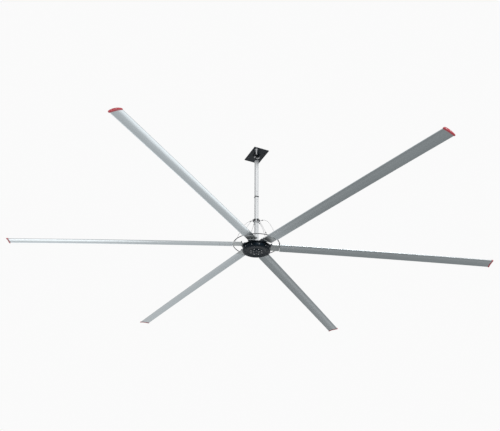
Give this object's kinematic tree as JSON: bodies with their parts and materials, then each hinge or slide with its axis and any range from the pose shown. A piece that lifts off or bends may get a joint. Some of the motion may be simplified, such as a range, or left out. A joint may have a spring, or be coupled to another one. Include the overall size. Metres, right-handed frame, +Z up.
{
  "type": "ceiling fan",
  "caption": "Large slow industrial ceiling fan: long drooping aerofoil blades on a flat motor hub, hung by a square drop tube and universal joint from a ceiling plate.",
  "frame": {"origin": "middle of the ceiling plate's top face, on the fan's axis", "axes": "+Z up, out of the ceiling plate's top face and along the drop tube; +X along the ceiling plate's short side; +Y along its long side"},
  "size_m": [6.9458, 7.2068, 1.8111],
  "materials": {
    "black_steel": "satin black powder coat",
    "black_aluminium": "cast, painted satin black",
    "dark_steel": "satin dark grey paint",
    "grey_steel": "satin mid-grey paint",
    "galvanised_steel": "galvanised",
    "zinc_steel": "zinc plated",
    "blade_aluminium": "satin anodised extrusion",
    "red_plastic": "moulded, semi-gloss",
    "rope_steel": "stranded galvanised wire",
    "laminated_steel": "stacked laminations",
    "copper_wire": "enamelled copper",
    "magnet_black": "sintered, coated",
    "bearing_steel": "ground"
  },
  "bodies": {
    "ceiling_mount": {"ceiling_plate": "black_steel", "anchor_bolt_1": "zinc_steel", "anchor_bolt_2": "zinc_steel", "anchor_bolt_3": "zinc_steel", "anchor_bolt_4": "zinc_steel", "upper_clevis": "black_steel", "upper_pivot_bolt": "zinc_steel", "upper_pivot_nut": "zinc_steel", "supply_conduit": "galvanised_steel", "conduit_coupling": "galvanised_steel", "conduit_gland": "zinc_steel", "conduit_saddle": "zinc_steel"},
    "link": {"link_block": "dark_steel"},
    "drop_tube": {"lower_pivot_bolt": "zinc_steel", "lower_pivot_nut": "zinc_steel", "tube_clevis": "black_steel", "upper_tube": "galvanised_steel", "joint_sleeve": "galvanised_steel", "joint_band": "black_steel", "lower_tube": "galvanised_steel", "tether_journal": "dark_steel", "journal_stop": "dark_steel", "tube_flange": "black_steel", "spindle": "zinc_steel", "stator_core": "laminated_steel", "stator_winding": "copper_wire", "upper_bearing": "bearing_steel", "lower_bearing": "bearing_steel", "spindle_nut": "zinc_steel"},
    "rotor": {"hub_plate": "black_steel", "motor_shell": "black_steel", "magnet_ring": "magnet_black", "lower_cover": "black_aluminium", "dust_cap": "black_aluminium", "blade_arm_1": "grey_steel", "blade_arm_2": "grey_steel", "blade_arm_3": "grey_steel", "blade_arm_4": "grey_steel", "blade_arm_5": "grey_steel", "blade_arm_6": "grey_steel", "blade_1": "blade_aluminium", "blade_2": "blade_aluminium", "blade_3": "blade_aluminium", "blade_4": "blade_aluminium", "blade_5": "blade_aluminium", "blade_6": "blade_aluminium", "blade_cap_1": "red_plastic", "blade_cap_2": "red_plastic", "blade_cap_3": "red_plastic", "blade_cap_4": "red_plastic", "blade_cap_5": "red_plastic", "blade_cap_6": "red_plastic", "safety_ring": "dark_steel", "tether_swivel": "galvanised_steel", "tether_rope_1": "rope_steel", "tether_rope_2": "rope_steel", "tether_rope_3": "rope_steel", "tether_rope_4": "rope_steel", "tether_rope_5": "rope_steel", "tether_rope_6": "rope_steel"}
  },
  "joints": [
    {"name": "swing_x", "type": "hinge", "parent": "ceiling_mount", "child": "link", "pos_m": [0, 0, -0.0443], "axis": [1, 0, 0], "range_deg": [-10, 10]},
    {"name": "swing_y", "type": "hinge", "parent": "link", "child": "drop_tube", "pos_m": [0, 0, -0.0843], "axis": [0, 1, 0], "range_deg": [-10, 10]},
    {"name": "rotor_spin", "type": "hinge", "parent": "drop_tube", "child": "rotor", "pos_m": [0, 0, -1.66], "axis": [0, 0, -1], "continuous": true}
  ]
}
